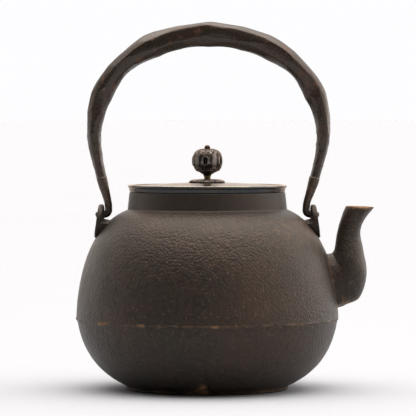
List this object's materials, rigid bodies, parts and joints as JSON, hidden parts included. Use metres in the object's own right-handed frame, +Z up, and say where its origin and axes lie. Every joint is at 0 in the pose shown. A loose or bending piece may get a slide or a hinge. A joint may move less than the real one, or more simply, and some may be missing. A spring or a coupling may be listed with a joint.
{
  "type": "cast iron kettle",
  "caption": "Round cast iron tea kettle with an S-shaped spout, a hollow bail handle hooked through disc lugs, and a lift-off bronze lid with a pierced knob.",
  "frame": {"origin": "centre of the flat foot that the kettle stands on, on the pot's axis", "axes": "+Z up along the pot's axis, which is also the longest way, +X to the spout, Y across between the pot's plain sides"},
  "size_m": [0.1816, 0.16, 0.2242],
  "materials": {
    "sand_cast_iron": "sand-cast skin, matt, fine pebbled, a little rust at the seam, foot and spout",
    "forged_iron": "hammered, lacquered and worn",
    "lid_bronze": "cast bronze, dark blue-grey patina, satin",
    "knob_bronze": "dark patina with silvery worn high spots",
    "knob_brass": "dull olive brass"
  },
  "bodies": {
    "pot_body": {"pot_bowl": "sand_cast_iron", "pot_shoulder": "sand_cast_iron", "spout": "sand_cast_iron", "lug_right": "sand_cast_iron", "lug_left": "sand_cast_iron"},
    "handle": {"handle_grip": "forged_iron", "handle_hook_right": "forged_iron", "handle_hook_left": "forged_iron"},
    "lid": {"lid_plate": "lid_bronze", "lid_skirt": "lid_bronze", "knob_washer": "knob_bronze", "knob_collar": "knob_brass", "knob": "knob_bronze", "knob_pin": "knob_brass", "lid_back_washer": "knob_brass"}
  },
  "joints": [
    {"name": "handle_swing", "type": "hinge", "parent": "pot_body", "child": "handle", "pos_m": [0, 0, 0.10689], "axis": [1, 0, 0], "range_deg": [-100, 100]},
    {"name": "lid_lift", "type": "slide", "parent": "pot_body", "child": "lid", "axis": [0, 0, 1], "range_m": [0, 0.05]}
  ]
}
